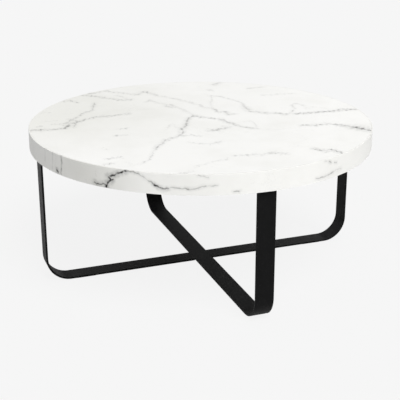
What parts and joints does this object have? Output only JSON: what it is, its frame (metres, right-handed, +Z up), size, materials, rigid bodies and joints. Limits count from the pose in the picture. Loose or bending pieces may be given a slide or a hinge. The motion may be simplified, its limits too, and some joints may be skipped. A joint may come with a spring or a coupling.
{
  "type": "round cocktail table",
  "caption": "Low round table: a thick white marble-look top on crossed frames of bent black flat bar, with upright legs close under the rim.",
  "frame": {"origin": "on the floor, under the middle of the top", "axes": "+Z up; the two half frames stand along X and the unbroken frame along Y"},
  "size_m": [0.9, 0.8999, 0.392],
  "materials": {
    "marble_look_sheet": "white marble-look laminate with thin grey veins, satin",
    "marble_look_band": "white marble-look edge band with thin grey veins, satin",
    "fibreboard": "raw fibreboard",
    "chipboard": "raw chipboard",
    "backing": "plain off-white balancing laminate",
    "kraft_paper": "expanded kraft paper honeycomb",
    "black_bar": "satin black powder coat on steel flat bar",
    "black_weld": "powder-coated weld bead",
    "black_screw": "black oxide steel",
    "zinc": "zinc-plated steel",
    "felt": "dark pressed felt"
  },
  "bodies": {
    "root": {"top_sheet": "marble_look_sheet", "edge_band": "marble_look_band", "upper_board": "fibreboard", "lower_board": "fibreboard", "backing_sheet": "backing", "honeycomb_core": "kraft_paper", "u_frame": "black_bar", "half_frame_left": "black_bar", "half_frame_right": "black_bar", "crossing_welds": "black_weld", "plate_welds": "black_weld", "threaded_inserts": "zinc", "machine_screws": "black_screw", "washers": "zinc", "rim_segment_right": "chipboard", "mounting_block_right": "chipboard", "mounting_plate_right": "black_bar", "floor_pad_right": "felt", "rim_segment_back": "chipboard", "mounting_block_back": "chipboard", "mounting_plate_back": "black_bar", "floor_pad_back": "felt", "rim_segment_left": "chipboard", "mounting_block_left": "chipboard", "mounting_plate_left": "black_bar", "floor_pad_left": "felt", "rim_segment_front": "chipboard", "mounting_block_front": "chipboard", "mounting_plate_front": "black_bar", "floor_pad_front": "felt"}
  },
  "joints": []
}
